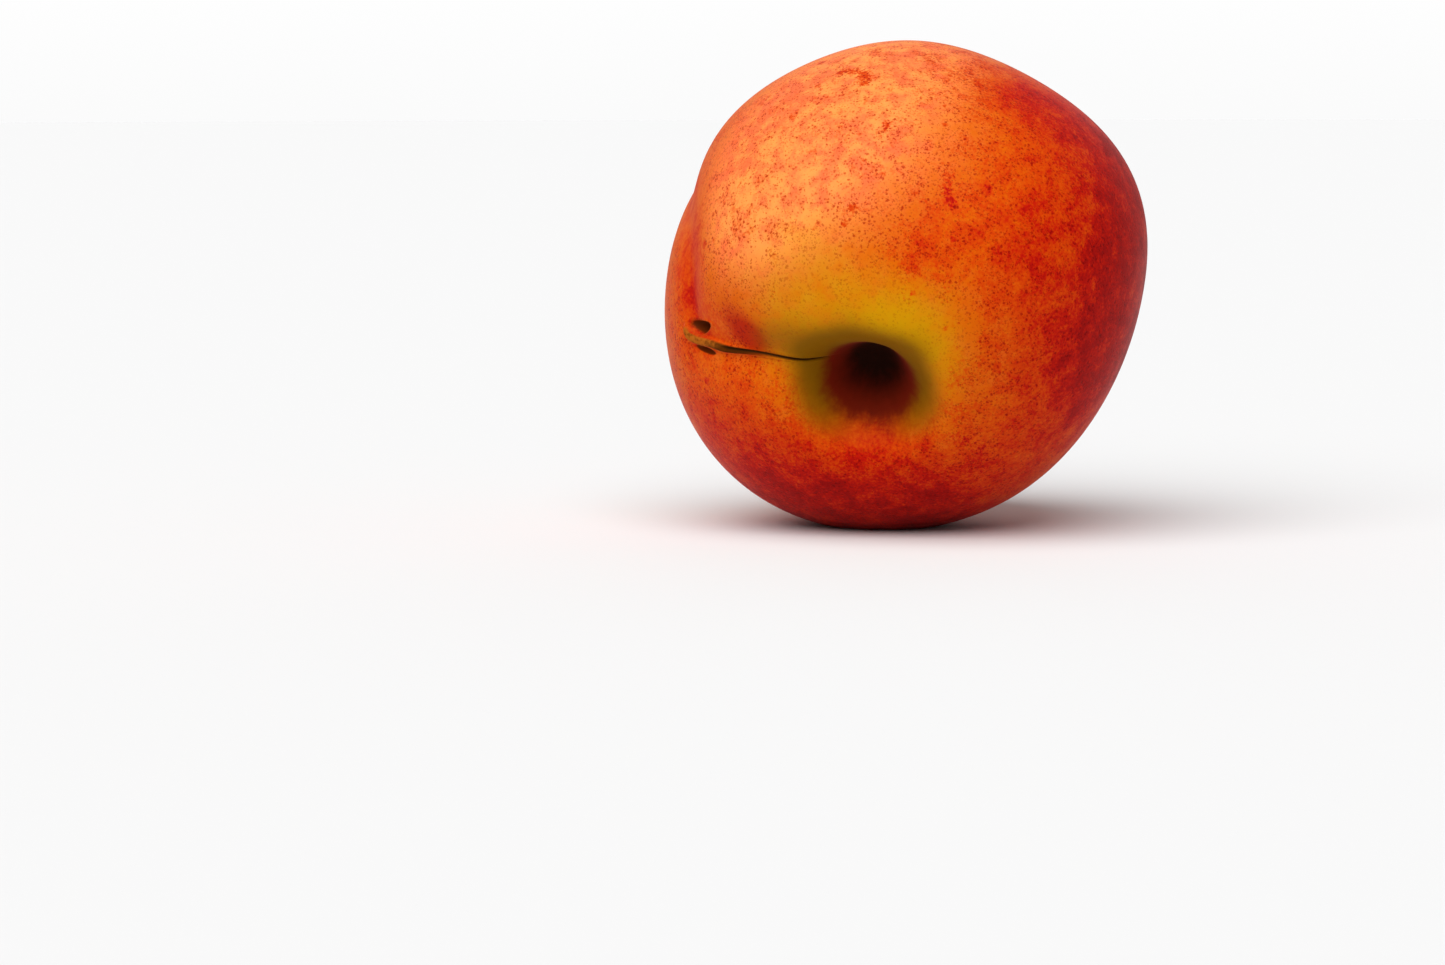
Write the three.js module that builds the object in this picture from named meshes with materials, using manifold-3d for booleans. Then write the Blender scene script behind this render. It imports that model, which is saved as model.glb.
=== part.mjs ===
// One nectarine as it lies at rest: stem end towards -Y and tipped down, blossom end behind.
// Millimetres, +Z up, resting on z = 0 with the box of the fruit centred on X and Y.
import * as THREE from "three";
import { mergeVertices } from "three/addons/utils/BufferGeometryUtils.js";
import Module from "manifold-3d";

// Driving sizes of the flesh, in the fruit's own frame: its axis runs from the blossom end
// at -Z to the stem end at +Z, and longitude is counted from the suture at +X.
const CHEEK_RADIUS = 35.5;
const STEM_HEIGHT = 33;
const BLOSSOM_HEIGHT = 33.5;
const BODY_SQUARENESS = 2.2;

// The cross-section is out of round: waves round the fruit, as a share of the radius.
const CHEEK_WAVES = [
  { count: 1, share: 0.024, towards: 204 },
  { count: 2, share: 0.034, towards: 71 },
  { count: 3, share: 0.02, towards: 94 },
  { count: 4, share: 0.0065, towards: 61 },
];

// Broad swellings and flats, each with its place in degrees and its rise in mm.
const SWELLING_REACH = 24;
const SWELLINGS = [
  { colatitude: 112, longitude: -136, rise: 0.8 },
  { colatitude: 122, longitude: -108, rise: -0.85 },
  { colatitude: 124, longitude: -69, rise: 0.8 },
  { colatitude: 116, longitude: -39, rise: -0.6 },
  { colatitude: 98, longitude: -10, rise: 0.6 },
  { colatitude: 85, longitude: 10, rise: -0.4 },
  { colatitude: 93, longitude: -169, rise: -0.7 },
  { colatitude: 67, longitude: 149, rise: 0.5 },
];

// The suture is a furrow between a full cheek and a leaner one. It bends aside on its way to
// the stem.
const SUTURE_DEPTH_AT_STEM = 3;
const SUTURE_DEPTH_AT_BELLY = 1.6;
const SUTURE_DEPTH_AT_BLOSSOM = 3;
const SUTURE_DEEPENS = { toStemFrom: 66, toStemUntil: 29, toBlossomFrom: 132, toBlossomUntil: 160 };
const SUTURE_END_FADE = 0.3;
const SUTURE_FULL_FLANK = 8;
const SUTURE_LEAN_FLANK = 4.5;
const SUTURE_FLOOR_RADIUS = 2.2;
const SUTURE_BENDS = [
  { longitude: 7.5, colatitude: 52.5, reach: 7 },
  { longitude: 14, colatitude: 41.5, reach: 14.5 },
  { longitude: -3, colatitude: 76, reach: 14.5 },
];

// The stalk stood in a deep cavity, a little wider along the suture than across it.
const CAVITY_DEPTH = 14;
const CAVITY_RADIUS = 6.6;
const CAVITY_STEEPNESS = 2.2;
const CAVITY_OVAL = 0.04;
const CAVITY_OVAL_TOWARDS = 26;

// The blossom end is a shallow dimple with the dried tip of the style standing in it.
const DIMPLE_DEPTH = 2.6;
const DIMPLE_RADIUS = 7.5;
const TIP_HEIGHT = 1;
const TIP_RADIUS = 1;

// A healed split runs out of the cavity beside the suture, first as a fine crack. A corky
// ridge grows along it and hooks round the end of a slit, with a gap below the ridge.
const SPLIT_BENDS = [
  { longitude: 20, colatitude: 53, reach: 26.4 },
  { longitude: -1, colatitude: 46.5, reach: 4.5 },
];
const RIDGE_HEIGHT = 0.7;
const RIDGE_HALF_WIDTH = 0.78;
const RIDGE_STARTS = { from: 14, until: 24 };
const RIDGE_GROWS = { from: 18, until: 46, firstShare: 0.3 };
const RIDGE_HOOK_AT = 53.7;
const RIDGE_HOOK_RADIUS = 1.35;
const RIDGE_HOOK_TAPER = { from: 0.1, until: 1.5, lastShare: 0.3 };
const CRACK_DEPTH = 0.6;
const CRACK_HALF_WIDTH = 0.26;
const CRACK_ASIDE = 0.15;
const CRACK_STARTS = { from: 9, until: 17 };
const CRACK_ENDS = { from: 40, until: 45 };

// The slit is a wedge: its upper side is nearly straight and its lower side comes to a point.
const SLIT = {
  colatitude: 52,
  longitude: 14.7,
  tilt: 29,
  halfLength: 2.3,
  upperSide: { width: 0.6, squareness: 4 },
  lowerSide: { width: 1.3, squareness: 1.3 },
  depth: 1.8,
};
const GAP = {
  colatitude: 48.5,
  longitude: 21.7,
  tilt: 8,
  halfLength: 2.1,
  upperSide: { width: 0.42, squareness: 2 },
  lowerSide: { width: 0.42, squareness: 2 },
  depth: 0.7,
};

// How the fruit lies: the stem end dips below level, swings to -X and the fruit is rolled
// about its own axis. The flesh is flattened a little where it rests.
const STEM_DIP = 27.3;
const STEM_SWING = 8.3;
const ROLL = -26.1;
const RESTING_FLAT_DEPTH = 0.9;

// Facets: rows from the stem end to the blossom end, and steps round each row. Both crowd
// together where the shape is fine.
const ROWS = 58;
const STEPS_ROUND = 92;
const ROW_CROWDING = 0.6;
const STEP_CROWDING = 0.62;

const SKIN_COLOUR = 0xe8743a;

const radians = THREE.MathUtils.degToRad;

function fade(from, to, value) {
  const share = THREE.MathUtils.clamp((value - from) / (to - from), 0, 1);
  return share * share * (3 - 2 * share);
}

// The same between two colatitudes given in degrees.
function fadeAlong(from, until, colatitude) {
  return fade(radians(from), radians(until), colatitude);
}

function bell(value, reach) {
  return Math.exp(-((value / reach) ** 2));
}

// Longitude of a line that bends aside on its way from one end of the fruit to the other.
function bentLongitude(bends, colatitude) {
  return bends.reduce((sum, bend) => {
    const away = colatitude - radians(bend.colatitude);
    return sum + radians(bend.longitude) * bell(away, radians(bend.reach));
  }, 0);
}

// Radius of the flesh before the suture is sunk into it.
function fleshRadius(colatitude, longitude) {
  const sine = Math.sin(colatitude);
  const cosine = Math.cos(colatitude);
  const height = cosine >= 0 ? STEM_HEIGHT : BLOSSOM_HEIGHT;
  const across = Math.abs(sine / CHEEK_RADIUS) ** BODY_SQUARENESS;
  const along = Math.abs(cosine / height) ** BODY_SQUARENESS;
  let waves = 1;
  for (const { count, share, towards } of CHEEK_WAVES) {
    waves += sine * sine * share * Math.cos(count * (longitude - radians(towards)));
  }
  let radius = (across + along) ** (-1 / BODY_SQUARENESS) * waves;
  const reach = 1 - Math.cos(radians(SWELLING_REACH));
  for (const swelling of SWELLINGS) {
    const polar = radians(swelling.colatitude);
    const turn = longitude - radians(swelling.longitude);
    const nearness = sine * Math.sin(polar) * Math.cos(turn) + cosine * Math.cos(polar);
    radius += swelling.rise * Math.exp((nearness - 1) / reach);
  }
  return radius;
}

// How far the surface is sunk at a distance to the side of the suture line.
function furrowDepth(colatitude, aside) {
  const stem = SUTURE_DEPTH_AT_STEM - SUTURE_DEPTH_AT_BELLY;
  const blossom = SUTURE_DEPTH_AT_BLOSSOM - SUTURE_DEPTH_AT_BELLY;
  const { toStemFrom, toStemUntil, toBlossomFrom, toBlossomUntil } = SUTURE_DEEPENS;
  const depth = SUTURE_DEPTH_AT_BELLY
    + stem * fadeAlong(toStemFrom, toStemUntil, colatitude)
    + blossom * fadeAlong(toBlossomFrom, toBlossomUntil, colatitude);
  const rounded = Math.hypot(aside, SUTURE_FLOOR_RADIUS) - SUTURE_FLOOR_RADIUS;
  return depth * Math.exp(-rounded / (aside < 0 ? SUTURE_FULL_FLANK : SUTURE_LEAN_FLANK));
}

// How deep a steep-sided hole is at a place of the skin.
function holeDepth(hole, colatitude, longitude) {
  const down = CHEEK_RADIUS * (colatitude - radians(hole.colatitude));
  const across = CHEEK_RADIUS * Math.sin(colatitude) * (longitude - radians(hole.longitude));
  const cosine = Math.cos(radians(hole.tilt));
  const sine = Math.sin(radians(hole.tilt));
  const along = Math.abs(down * cosine + across * sine) / hole.halfLength;
  const beside = across * cosine - down * sine;
  const { width, squareness } = beside < 0 ? hole.upperSide : hole.lowerSide;
  const sum = along ** squareness + (Math.abs(beside) / width) ** squareness;
  return hole.depth * bell(sum ** (2 / squareness), 1);
}

function splitRelief(colatitude, longitude) {
  const split = bentLongitude(SPLIT_BENDS, colatitude);
  const beside = CHEEK_RADIUS * Math.sin(colatitude) * (longitude - split);
  const beyond = CHEEK_RADIUS * (colatitude - radians(RIDGE_HOOK_AT));

  const grown = fadeAlong(RIDGE_GROWS.from, RIDGE_GROWS.until, colatitude);
  const size = THREE.MathUtils.lerp(RIDGE_GROWS.firstShare, 1, grown);
  const halfWidth = RIDGE_HALF_WIDTH * size;
  const round = -beside / RIDGE_HOOK_RADIUS;
  const hooked = fade(RIDGE_HOOK_TAPER.until, RIDGE_HOOK_TAPER.from, round);
  const taper = THREE.MathUtils.lerp(RIDGE_HOOK_TAPER.lastShare, 1, hooked);
  const fromHook = Math.hypot(beyond, beside + RIDGE_HOOK_RADIUS) - RIDGE_HOOK_RADIUS;
  const fromRidge = beyond > 0 ? fromHook / taper : beside;
  const ridge = RIDGE_HEIGHT * size * hooked
    * fadeAlong(RIDGE_STARTS.from, RIDGE_STARTS.until, colatitude)
    * bell((fromRidge / halfWidth) ** 2, 1);

  const crack = CRACK_DEPTH
    * fadeAlong(CRACK_STARTS.from, CRACK_STARTS.until, colatitude)
    * fadeAlong(CRACK_ENDS.until, CRACK_ENDS.from, colatitude)
    * bell(beside + CRACK_ASIDE, CRACK_HALF_WIDTH);
  const holes = holeDepth(SLIT, colatitude, longitude) + holeDepth(GAP, colatitude, longitude);
  return ridge - crack - holes;
}

// A point of the skin, from its colatitude and its turn round the axis from the suture.
function skinPoint(colatitude, turn) {
  const longitude = turn + bentLongitude(SUTURE_BENDS, colatitude);
  const sine = Math.sin(colatitude);
  let radius = fleshRadius(colatitude, longitude);
  const aside = 2 * radius * sine * Math.sin(turn / 2);
  const sutureSide = fade(0, 1, 1 + Math.cos(turn)) * fade(0, SUTURE_END_FADE, sine);
  radius -= furrowDepth(colatitude, aside) * sutureSide;
  radius += splitRelief(colatitude, longitude);
  const fromAxis = radius * sine;
  let height = radius * Math.cos(colatitude);
  if (height > 0) {
    const oval = Math.cos(2 * (longitude - radians(CAVITY_OVAL_TOWARDS)));
    const wall = fromAxis / (CAVITY_RADIUS * (1 + CAVITY_OVAL * oval));
    height -= CAVITY_DEPTH * Math.exp(-(wall ** CAVITY_STEEPNESS));
  } else {
    height += DIMPLE_DEPTH * bell(fromAxis, DIMPLE_RADIUS);
    height -= TIP_HEIGHT * bell(fromAxis, TIP_RADIUS);
  }
  return [fromAxis * Math.cos(longitude), fromAxis * Math.sin(longitude), height];
}

// Even steps drawn together at both ends of the range.
function crowd(share, crowding) {
  return share - (crowding * Math.sin(2 * Math.PI * share)) / (2 * Math.PI);
}

// The skin as a sphere whose every point is moved to its place.
function skinGeometry() {
  const sphere = new THREE.SphereGeometry(1, STEPS_ROUND, ROWS);
  const place = sphere.getAttribute("position");
  const share = sphere.getAttribute("uv");
  for (let index = 0; index < place.count; index += 1) {
    const colatitude = Math.PI * crowd(1 - share.getY(index), ROW_CROWDING);
    const turn = 2 * Math.PI * crowd(share.getX(index), STEP_CROWDING);
    place.setXYZ(index, ...skinPoint(colatitude, turn > Math.PI ? turn - 2 * Math.PI : turn));
  }
  return sphere;
}

// Axes of the fruit as it lies, from the dip and swing of the stem end and the roll.
function restingAxes() {
  const dip = radians(STEM_DIP);
  const swing = radians(STEM_SWING);
  const stem = new THREE.Vector3(
    -Math.sin(swing) * Math.cos(dip),
    -Math.cos(swing) * Math.cos(dip),
    -Math.sin(dip),
  );
  const level = new THREE.Vector3(0, 0, 1).cross(stem).negate().normalize();
  const suture = level.clone().applyAxisAngle(stem, radians(ROLL));
  const side = stem.clone().cross(suture);
  return new THREE.Matrix4().makeBasis(suture, side, stem);
}

const wasm = await Module();
wasm.setup();

function solidOf(geometry) {
  const bare = geometry.clone();
  bare.deleteAttribute("normal");
  bare.deleteAttribute("uv");
  const merged = mergeVertices(bare);
  return new wasm.Manifold(new wasm.Mesh({
    numProp: 3,
    vertProperties: new Float32Array(merged.getAttribute("position").array),
    triVerts: new Uint32Array(merged.index.array),
  }));
}

const whole = skinGeometry().applyMatrix4(restingAxes());
whole.computeBoundingBox();
const span = 4 * CHEEK_RADIUS;
const below = new THREE.BoxGeometry(span, span, span);
below.translate(0, 0, whole.boundingBox.min.z + RESTING_FLAT_DEPTH - span / 2);
const flesh = solidOf(whole).subtract(solidOf(below)).getMesh();

const geometry = new THREE.BufferGeometry();
geometry.setAttribute("position", new THREE.BufferAttribute(flesh.vertProperties, 3));
geometry.setIndex(new THREE.BufferAttribute(flesh.triVerts, 1));
geometry.computeBoundingBox();
const middle = geometry.boundingBox.getCenter(new THREE.Vector3());
geometry.translate(-middle.x, -middle.y, -geometry.boundingBox.min.z);
geometry.computeVertexNormals();

const skin = new THREE.MeshStandardMaterial({
  color: SKIN_COLOUR,
  roughness: 0.45,
  metalness: 0,
});
const nectarine = new THREE.Mesh(geometry, skin);
nectarine.name = "nectarine";

const part = new THREE.Group();
part.name = "part";
part.add(nectarine);

export default part;
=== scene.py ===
"""One ripe nectarine lying on a pale studio floor, grown from named sizes and finishes."""

import math

import bpy
import numpy as np
from mathutils import Matrix, Vector


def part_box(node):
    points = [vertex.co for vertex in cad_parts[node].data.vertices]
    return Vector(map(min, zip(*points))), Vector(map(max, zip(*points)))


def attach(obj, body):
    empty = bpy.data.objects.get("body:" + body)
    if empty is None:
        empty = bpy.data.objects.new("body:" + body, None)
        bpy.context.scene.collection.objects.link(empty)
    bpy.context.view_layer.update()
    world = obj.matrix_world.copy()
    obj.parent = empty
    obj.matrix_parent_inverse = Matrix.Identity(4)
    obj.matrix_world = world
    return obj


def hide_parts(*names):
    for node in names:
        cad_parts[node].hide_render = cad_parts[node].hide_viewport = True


bl_info = {
    "name": "Nectarine",
    "version": (1, 0, 0),
    "blender": (4, 5, 0),
    "location": "3D View > Sidebar > Nectarine",
    "description": "Grows a ripe nectarine on its solid, finishes its skin and sets a plain studio",
    "category": "Object",
}

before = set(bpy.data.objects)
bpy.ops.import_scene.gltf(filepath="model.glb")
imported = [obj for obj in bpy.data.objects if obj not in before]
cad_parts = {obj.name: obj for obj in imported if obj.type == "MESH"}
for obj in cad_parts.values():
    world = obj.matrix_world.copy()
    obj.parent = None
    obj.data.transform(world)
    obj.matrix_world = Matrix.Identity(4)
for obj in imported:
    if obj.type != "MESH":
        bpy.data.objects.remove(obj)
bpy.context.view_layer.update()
NODE = "nectarine"
LOW, HIGH = (Vector(corner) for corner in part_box(NODE))

MM = 0.001
DEG = math.pi / 180

# The fruit's own frame: its axis runs from the blossom end at -Z to the stem end at +Z, and
# longitude is counted from the suture at +X. Lengths are in mm, angles in degrees.

# Waves round the fruit: how many, their share of the radius and the longitude of a crest.
CHEEK_WAVES = ((1, 0.024, 204), (2, 0.034, 71), (3, 0.02, 94), (4, 0.0065, 61))

# Broad swellings and flats: colatitude, longitude and rise.
SWELLING_REACH = 24
SWELLINGS = (
    (112, -136, 0.8),
    (122, -108, -0.85),
    (124, -69, 0.8),
    (116, -39, -0.6),
    (98, -10, 0.6),
    (85, 10, -0.4),
    (93, -169, -0.7),
    (67, 149, 0.5),
)
BODY_SQUARENESS = 2.2
STEM_HEIGHT = 33
BLOSSOM_HEIGHT = 33.5

# The suture is a furrow between a full cheek and a leaner one, deeper towards both ends.
# Each of its bends has a longitude, the colatitude that it is at and its reach.
SUTURE_DEPTH_AT_STEM = 3
SUTURE_DEPTH_AT_BLOSSOM = 3
SUTURE_DEEPENS_TO_STEM = (66, 29)
SUTURE_DEEPENS_TO_BLOSSOM = (132, 160)
SUTURE_END_FADE = 0.3
SUTURE_FULL_FLANK = 8
SUTURE_LEAN_FLANK = 4.5
SUTURE_FLOOR_RADIUS = 2.2
SUTURE_BENDS = ((7.5, 52.5, 7), (14, 41.5, 14.5), (-3, 76, 14.5))

# The stem cavity is a little wider along the suture than across it. The blossom end is a
# shallow dimple with the dried tip of the style standing in it.
CAVITY_RADIUS = 6.6
CAVITY_STEEPNESS = 2.2
CAVITY_OVAL = 0.04
CAVITY_OVAL_TOWARDS = 26
DIMPLE_DEPTH = 2.6
DIMPLE_RADIUS = 7.5
TIP_HEIGHT = 1
TIP_RADIUS = 1

# The healed split runs out of the cavity beside the suture, first as a fine crack. A corky
# ridge grows along it and hooks round the end of a slit, with a gap below the ridge.
SPLIT_BENDS = ((20, 53, 26.4), (-1, 46.5, 4.5))
RIDGE_HEIGHT = 0.7
RIDGE_HALF_WIDTH = 0.78
RIDGE_STARTS = (14, 24)
RIDGE_GROWS = (18, 46)
RIDGE_FIRST_SHARE = 0.3
RIDGE_HOOK_AT = 53.7
RIDGE_HOOK_RADIUS = 1.35
RIDGE_HOOK_TAPER = (1.5, 0.1)
RIDGE_HOOK_LAST_SHARE = 0.3
CRACK_DEPTH = 0.6
CRACK_HALF_WIDTH = 0.26
CRACK_ASIDE = 0.15
CRACK_STARTS = (9, 17)
CRACK_ENDS = (45, 40)

# The slit is a wedge: its upper side is nearly straight and its lower side comes to a point.
# The gap under it is a plain long hollow. Each side has a width and a squareness.
SLIT = {
    "colatitude": 52,
    "longitude": 14.7,
    "tilt": 29,
    "half_length": 2.3,
    "upper_side": (0.6, 4),
    "lower_side": (1.3, 1.3),
    "depth": 1.8,
}
GAP = {
    "colatitude": 48.5,
    "longitude": 21.7,
    "tilt": 8,
    "half_length": 2.1,
    "upper_side": (0.42, 2),
    "lower_side": (0.42, 2),
    "depth": 0.7,
}

# The slit's raised lip runs outside its rim: its place and reach are shares of the way from
# the slit's middle to its rim.
SLIT_LIP_AT = 1.35
SLIT_LIP_REACH = 0.25
SLIT_LIP_HEIGHT = 0.2

# How the fruit lies: the stem end dips below level, swings to -X and the fruit is rolled
# about its own axis. The flesh is flattened a little where it rests.
STEM_DIP = 27.3
STEM_SWING = 8.3
ROLL = -26.1
RESTING_FLAT_DEPTH = 0.9

# The scar where the stalk came off, at the bottom of the stem cavity.
SCAR_RADIUS = 2.4
SCAR_HEIGHT = 0.7

# Rows of the skin from the stem end to the blossom end, as row number and colatitude, and
# steps round each row, which crowd towards the suture.
ROW_MARKS = ((0, 0), (40, 14), (165, 62), (225, 150), (240, 170), (258, 180))
ROWS = ROW_MARKS[-1][0]
STEPS_ROUND = 370
STEP_CROWDING = 0.7

# What stands for "far from the stem" on the blossom half.
FAR_FROM_STEM = 99


def fade(start, end, value):
    share = np.clip((value - start) / (end - start), 0, 1)
    return share * share * (3 - 2 * share)


def bell(value, reach):
    return np.exp(-((value / reach) ** 2))


def fade_along(marks, colatitude):
    """Goes from 0 at the first mark to 1 at the second, both in degrees from the stem end."""
    return fade(marks[0] * DEG, marks[1] * DEG, colatitude)


def row_colatitudes():
    numbers, places = zip(*ROW_MARKS)
    return DEG * np.interp(np.arange(ROWS + 1), numbers, places)


def step_turns():
    """Turns from the suture, from none round to the far side and back from below."""
    share = np.arange(STEPS_ROUND) / STEPS_ROUND
    turn = 2 * np.pi * share - STEP_CROWDING * np.sin(2 * np.pi * share)
    return np.where(turn > np.pi, turn - 2 * np.pi, turn)


def bent_longitude(bends, colatitude):
    return sum(
        longitude * DEG * bell(colatitude - at * DEG, reach * DEG)
        for longitude, at, reach in bends
    )


def flesh_radius(colatitude, longitude, cheek):
    sine, cosine = np.sin(colatitude), np.cos(colatitude)
    height = np.where(cosine >= 0, STEM_HEIGHT, BLOSSOM_HEIGHT)
    across = np.abs(sine / cheek) ** BODY_SQUARENESS
    along = np.abs(cosine / height) ** BODY_SQUARENESS
    waves = 1 + sine**2 * sum(
        share * np.cos(count * (longitude - towards * DEG))
        for count, share, towards in CHEEK_WAVES
    )
    radius = (across + along) ** (-1 / BODY_SQUARENESS) * waves
    reach = 1 - math.cos(SWELLING_REACH * DEG)
    for polar, place, rise in SWELLINGS:
        across = sine * math.sin(polar * DEG) * np.cos(longitude - place * DEG)
        nearness = across + cosine * math.cos(polar * DEG)
        radius = radius + rise * np.exp((nearness - 1) / reach)
    return radius


def furrow_depth(colatitude, aside, belly):
    to_stem = fade_along(SUTURE_DEEPENS_TO_STEM, colatitude)
    to_blossom = fade_along(SUTURE_DEEPENS_TO_BLOSSOM, colatitude)
    depth = (
        belly
        + (SUTURE_DEPTH_AT_STEM - belly) * to_stem
        + (SUTURE_DEPTH_AT_BLOSSOM - belly) * to_blossom
    )
    rounded = np.hypot(aside, SUTURE_FLOOR_RADIUS) - SUTURE_FLOOR_RADIUS
    return depth * np.exp(-rounded / np.where(aside < 0, SUTURE_FULL_FLANK, SUTURE_LEAN_FLANK))


def hole(place, colatitude, longitude, cheek):
    """How far from the middle of a long hole, as a share of the way to its rim."""
    down = cheek * (colatitude - place["colatitude"] * DEG)
    across = cheek * np.sin(colatitude) * (longitude - place["longitude"] * DEG)
    lean = math.cos(place["tilt"] * DEG), math.sin(place["tilt"] * DEG)
    along = down * lean[0] + across * lean[1]
    beside = across * lean[0] - down * lean[1]
    upper_width, upper_squareness = place["upper_side"]
    lower_width, lower_squareness = place["lower_side"]
    width = np.where(beside < 0, upper_width, lower_width)
    squareness = np.where(beside < 0, upper_squareness, lower_squareness)
    lengthwise = np.abs(along / place["half_length"]) ** squareness
    sideways = np.abs(beside / width) ** squareness
    return (lengthwise + sideways) ** (1 / squareness)


def split_masks(colatitude, longitude, cheek):
    """Where the healed split's crack and corky ridge lie, each from 0 to 1."""
    split = bent_longitude(SPLIT_BENDS, colatitude)
    beside = cheek * np.sin(colatitude) * (longitude - split)
    beyond = cheek * (colatitude - RIDGE_HOOK_AT * DEG)
    grown = fade_along(RIDGE_GROWS, colatitude)
    size = RIDGE_FIRST_SHARE + (1 - RIDGE_FIRST_SHARE) * grown
    hooked = fade(*RIDGE_HOOK_TAPER, -beside / RIDGE_HOOK_RADIUS)
    taper = RIDGE_HOOK_LAST_SHARE + (1 - RIDGE_HOOK_LAST_SHARE) * hooked
    from_hook = np.hypot(beyond, beside + RIDGE_HOOK_RADIUS) - RIDGE_HOOK_RADIUS
    from_ridge = np.where(beyond > 0, from_hook / taper, beside)
    ridge = size * hooked * fade_along(RIDGE_STARTS, colatitude)
    ridge = ridge * bell((from_ridge / (RIDGE_HALF_WIDTH * size)) ** 2, 1)
    crack = fade_along(CRACK_STARTS, colatitude) * fade_along(CRACK_ENDS, colatitude)
    return crack * bell(beside + CRACK_ASIDE, CRACK_HALF_WIDTH), ridge


def grow_skin(shape):
    """Every point of the skin in the fruit's own frame, and what the finish needs there."""
    cheek = shape.cheek_radius / MM
    colatitude, turn = np.meshgrid(row_colatitudes(), step_turns(), indexing="ij")
    longitude = turn + bent_longitude(SUTURE_BENDS, colatitude)
    sine = np.sin(colatitude)
    radius = flesh_radius(colatitude, longitude, cheek)
    aside = 2 * radius * sine * np.sin(turn / 2)
    suture_side = fade(0, 1, 1 + np.cos(turn)) * fade(0, SUTURE_END_FADE, sine)
    radius = radius - furrow_depth(colatitude, aside, shape.suture_depth / MM) * suture_side
    crack, ridge = split_masks(colatitude, longitude, cheek)
    from_slit = hole(SLIT, colatitude, longitude, cheek)
    slit_lip = bell(from_slit - SLIT_LIP_AT, SLIT_LIP_REACH)
    slit = bell(from_slit**2, 1)
    gap = bell(hole(GAP, colatitude, longitude, cheek) ** 2, 1)
    radius = radius + RIDGE_HEIGHT * ridge + SLIT_LIP_HEIGHT * slit_lip
    radius = radius - CRACK_DEPTH * crack - SLIT["depth"] * slit - GAP["depth"] * gap
    from_axis = radius * sine
    height = radius * np.cos(colatitude)
    stem_half = height > 0
    oval = np.cos(2 * (longitude - CAVITY_OVAL_TOWARDS * DEG))
    wall = from_axis / (CAVITY_RADIUS * (1 + CAVITY_OVAL * oval))
    hollow = np.where(stem_half, np.exp(-(wall**CAVITY_STEEPNESS)), 0)
    scar = np.where(stem_half, bell((from_axis / SCAR_RADIUS) ** 2, 1), 0)
    dimple = np.where(stem_half, 0, bell(from_axis, DIMPLE_RADIUS))
    tip = np.where(stem_half, 0, bell(from_axis, TIP_RADIUS))
    height = height - shape.cavity_depth / MM * hollow + SCAR_HEIGHT * scar
    height = height + DIMPLE_DEPTH * dimple - TIP_HEIGHT * tip
    points = np.stack([from_axis * np.cos(longitude), from_axis * np.sin(longitude), height], -1)
    facts = {
        "colatitude": colatitude,
        "longitude": longitude,
        "aside": aside,
        "suture_side": suture_side,
        "from_axis": np.where(stem_half, from_axis, FAR_FROM_STEM),
        "crack": crack,
        "ridge": ridge,
        "slit_lip": slit_lip,
        # In the gap under the ridge, the holes field lays a painted shadow.
        "holes": np.maximum(slit, gap),
        "hollow": hollow,
        "dimple": dimple,
        "tip": tip,
    }
    return points, facts


def resting_axes():
    """The fruit's axes as it lies, as the columns of a matrix."""
    dip, swing = STEM_DIP * DEG, STEM_SWING * DEG
    stem = Vector(
        (-math.sin(swing) * math.cos(dip), -math.cos(swing) * math.cos(dip), -math.sin(dip))
    )
    level = -Vector((0, 0, 1)).cross(stem).normalized()
    suture = Matrix.Rotation(ROLL * DEG, 3, stem) @ level
    return np.array([suture, stem.cross(suture), stem]).T


def lay_down(points):
    """Turns the skin to how it lies, flattens it where it rests and seats it in its box."""
    lying = points @ resting_axes().T
    lying[..., 2] = np.maximum(lying[..., 2], lying[..., 2].min() + RESTING_FLAT_DEPTH)
    low, high = lying.reshape(-1, 3).min(0), lying.reshape(-1, 3).max(0)
    fit = np.array(HIGH - LOW) / MM / (high - low)
    seat = (lying - low) * fit + np.array(LOW) / MM
    centre = -low * fit + np.array(LOW) / MM
    return seat * MM, centre * MM


def skin_faces():
    """Four-sided faces between the rows and a fan at each end."""
    def at(row, step):
        return 1 + (row - 1) * STEPS_ROUND + step % STEPS_ROUND

    last = 1 + (ROWS - 1) * STEPS_ROUND
    faces = []
    for step in range(STEPS_ROUND):
        faces.append((0, at(1, step), at(1, step + 1)))
        faces.append((last, at(ROWS - 1, step + 1), at(ROWS - 1, step)))
        for row in range(1, ROWS - 1):
            below = at(row + 1, step), at(row + 1, step + 1)
            faces.append((at(row, step), *below, at(row, step + 1)))
    return faces


def merged(grid):
    """A value for each point of the mesh from one for each place of the grid."""
    return np.concatenate([grid[:1, 0], grid[1:-1].reshape(-1, *grid.shape[2:]), grid[-1:, 0]])


# Where the colour of the skin gathers. Each patch is a direction from the fruit's middle,
# its spread in degrees and its strength.
BLUSH_AND_SHADE_PATCHES = (
    ((0.95, -0.15, 0.1), 40, 1.65),
    ((0.62, -0.35, 0.7), 17, 0.4),
    ((0.45, -0.41, 0.79), 9, 0.32),
    ((0.53, -0.76, 0.38), 9, 0.15),
    ((0.72, -0.62, -0.3), 22, 0.4),
    ((0.44, -0.88, 0.19), 16, 0.3),
    ((0.14, -0.97, 0.17), 13, 0.35),
    ((0.09, -0.985, 0.15), 5, 0.15),
    ((0.25, -0.96, 0.07), 7, -0.3),
    ((0.05, -0.92, 0.4), 7, -0.12),
    # The next two patches, at the bottom and the lower left, deepen the blush as painted shade,
    # darker towards the bottom.
    ((-0.1, -0.3, -0.95), 36, 1.4),
    ((-0.72, -0.3, -0.62), 26, 0.4),
    ((-0.9, -0.4, 0.03), 13, 0.4),
    ((-0.75, -0.1, 0.66), 14, 0.2),
    ((0.4, 0.8, 0.35), 36, 0.7),
)
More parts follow.
